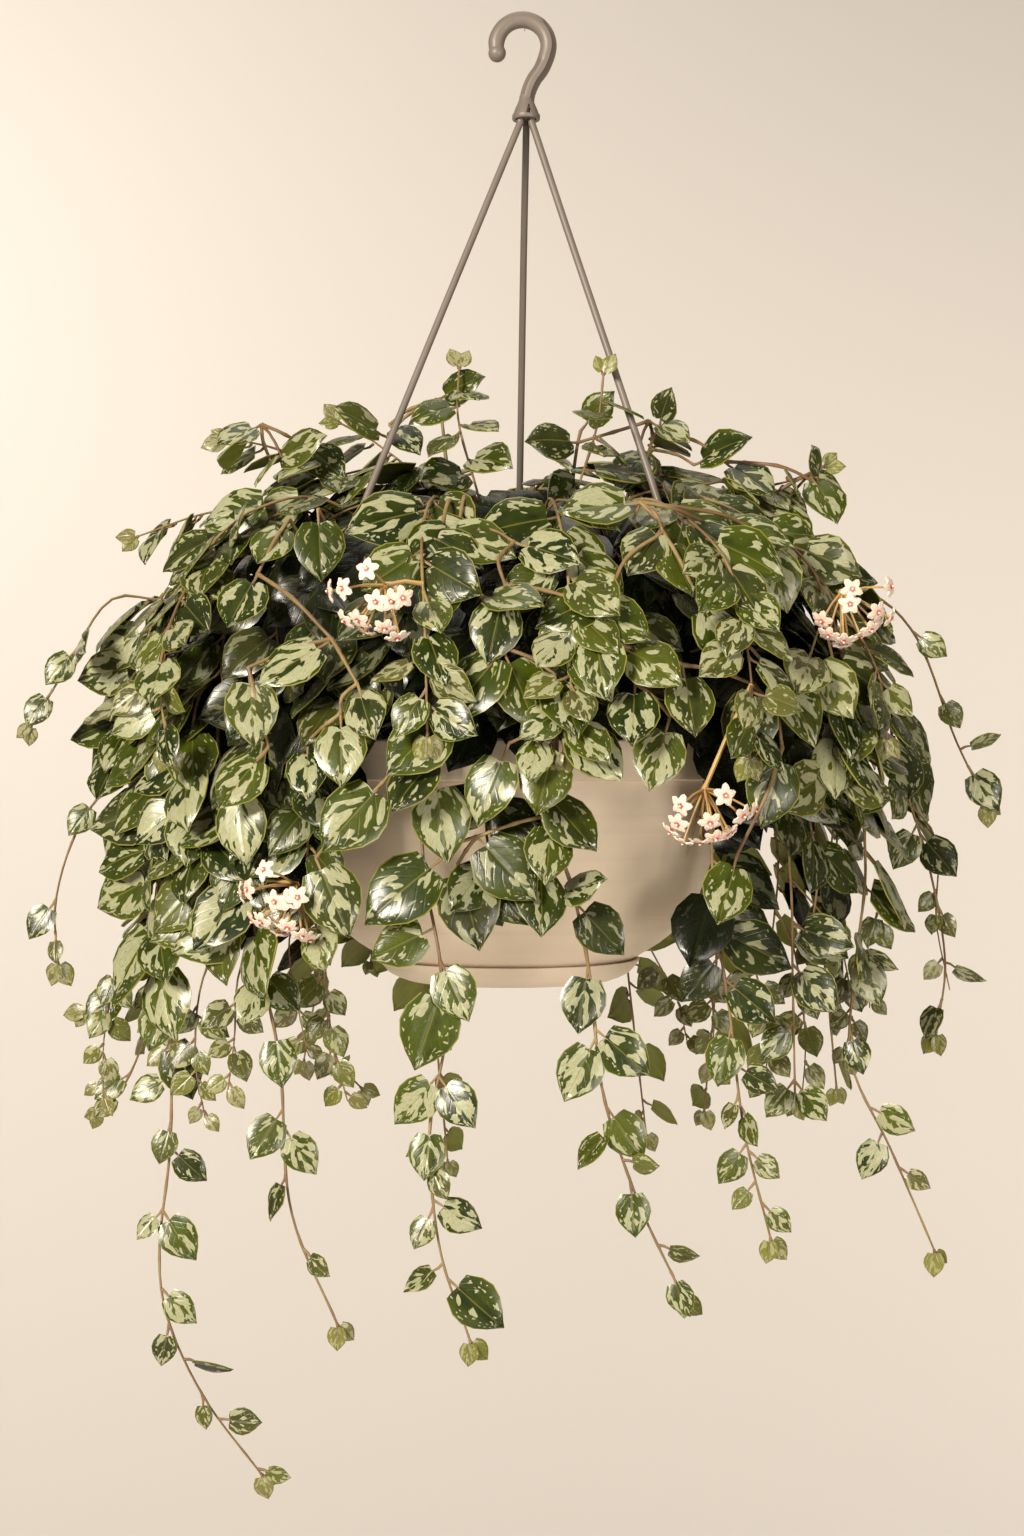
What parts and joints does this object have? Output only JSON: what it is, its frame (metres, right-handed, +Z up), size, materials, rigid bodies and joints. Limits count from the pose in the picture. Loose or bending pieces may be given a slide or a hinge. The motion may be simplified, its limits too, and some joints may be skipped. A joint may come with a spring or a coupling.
{
  "type": "potted hoya curtisii in a hanging basket",
  "caption": "Hanging bowl pot on plastic arms and a hook, with a mound of small-leaved hoya vines that trail over the rim and clusters of star flowers.",
  "frame": {"origin": "the point inside the hook's bend that rests on its support", "axes": "+Z up along the hanger, +X to the right and +Y to the back as seen from the front"},
  "size_m": [0.4273, 0.3401, 0.6407],
  "materials": {
    "hanger": "satin moulded taupe-grey plastic",
    "pot": "matte beige plastic",
    "soil": "rough dark bark and peat crumb",
    "foliage": "glossy thick leaves, green with silver blotches, on tan stems",
    "flower": "velvety pinkish-white petals round a red crown"
  },
  "bodies": {
    "root": {"arm_back": "hanger", "arm_front_left": "hanger", "arm_front_right": "hanger", "hook": "hanger", "pot": "pot", "saucer": "pot", "soil": "soil", "umbel_back": "flower", "umbel_front_left": "flower", "umbel_front_right": "flower", "umbel_low_left": "flower", "umbel_right": "flower", "vine_back_left": "foliage", "vine_back_mid_left": "foliage", "vine_back_mid_right": "foliage", "vine_back_middle": "foliage", "vine_back_right": "foliage", "vine_curtain_115": "foliage", "vine_curtain_133": "foliage", "vine_curtain_180": "foliage", "vine_curtain_234": "foliage", "vine_curtain_266": "foliage", "vine_curtain_31": "foliage", "vine_curtain_332": "foliage", "vine_curtain_54": "foliage", "vine_curtain_78": "foliage", "vine_curtain_97": "foliage", "vine_dome_back": "foliage", "vine_dome_back_left": "foliage", "vine_dome_back_right": "foliage", "vine_dome_front_left": "foliage", "vine_dome_front_mid": "foliage", "vine_dome_front_right": "foliage", "vine_dome_left": "foliage", "vine_dome_left_back": "foliage", "vine_dome_right": "foliage", "vine_dome_right_back": "foliage", "vine_front_left": "foliage", "vine_front_mid": "foliage", "vine_left_back": "foliage", "vine_left_high": "foliage", "vine_left_inner": "foliage", "vine_left_long": "foliage", "vine_left_low": "foliage", "vine_left_mid": "foliage", "vine_left_outer": "foliage", "vine_right_high": "foliage", "vine_right_inner": "foliage", "vine_right_long": "foliage", "vine_right_mid": "foliage", "vine_right_outer": "foliage", "vine_sprig_back": "foliage", "vine_sprig_far_left": "foliage", "vine_sprig_far_right": "foliage", "vine_sprig_left": "foliage", "vine_sprig_low_left": "foliage", "vine_sprig_right": "foliage", "vine_sprig_top_left": "foliage", "vine_sprig_top_right": "foliage"}
  },
  "joints": []
}
